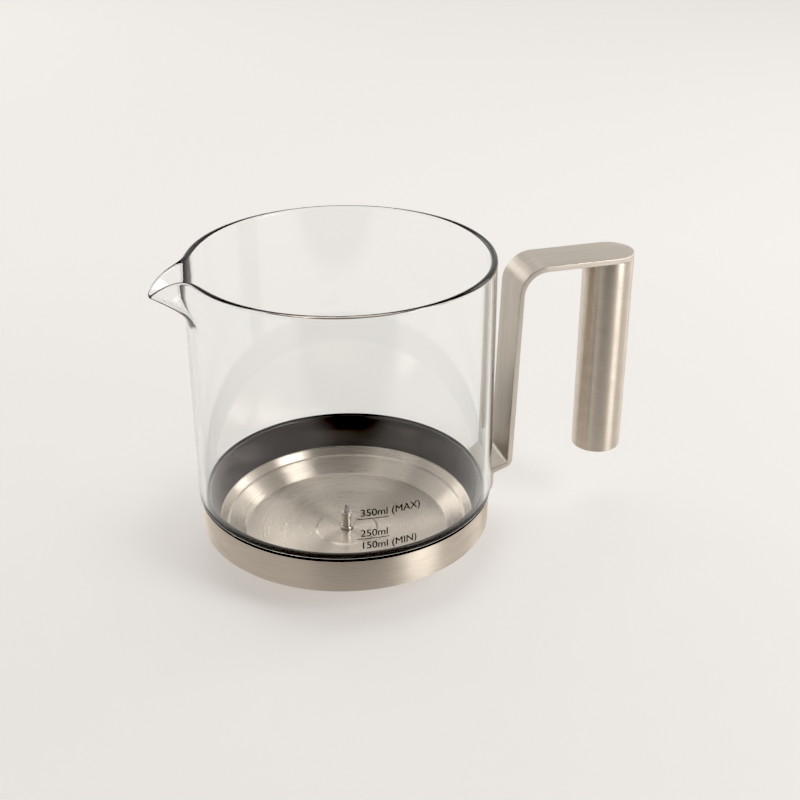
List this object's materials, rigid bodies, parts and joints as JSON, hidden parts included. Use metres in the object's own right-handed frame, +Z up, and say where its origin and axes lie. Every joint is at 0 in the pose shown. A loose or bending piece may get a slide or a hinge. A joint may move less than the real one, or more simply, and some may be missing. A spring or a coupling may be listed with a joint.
{
  "type": "milk frother jug",
  "caption": "Glass milk frother jug with a pouring spout, a steel pan foot with a whisk pin, and a strap handle that carries a hanging tubular grip.",
  "frame": {"origin": "on the jug's axis, on the flat face that it stands on", "axes": "+Z up along the jug's axis, +X towards the handle, -X towards the spout"},
  "size_m": [0.1956, 0.12, 0.126],
  "materials": {
    "glass": "clear, polished",
    "silicone": "satin",
    "black_plastic": "gloss",
    "matt_black_plastic": "fine grain",
    "brushed_steel": "brushed round the band",
    "spun_steel": "spun, circular brushing",
    "ferritic_steel": "ground",
    "polished_steel": "turned and polished",
    "screw_steel": "zinc plated",
    "strap_steel": "satin, brushed along the bar",
    "grip_steel": "satin, brushed round the tube",
    "core_plastic": "moulded",
    "volume_print": "screen printed"
  },
  "bodies": {
    "root": {"glass_body": "glass", "glass_gasket": "silicone", "inner_collar": "black_plastic", "outer_band": "brushed_steel", "steel_pan": "spun_steel", "pan_gasket": "silicone", "heating_disc": "ferritic_steel", "spindle_pin": "polished_steel", "spindle_seal": "silicone", "spindle_washer": "polished_steel", "base_ring": "matt_black_plastic", "base_screws": "screw_steel", "handle_strap": "strap_steel", "strap_boss": "screw_steel", "grip_tube": "grip_steel", "grip_core": "core_plastic", "grip_bolt": "screw_steel", "grip_end_cap": "grip_steel"}
  },
  "joints": []
}
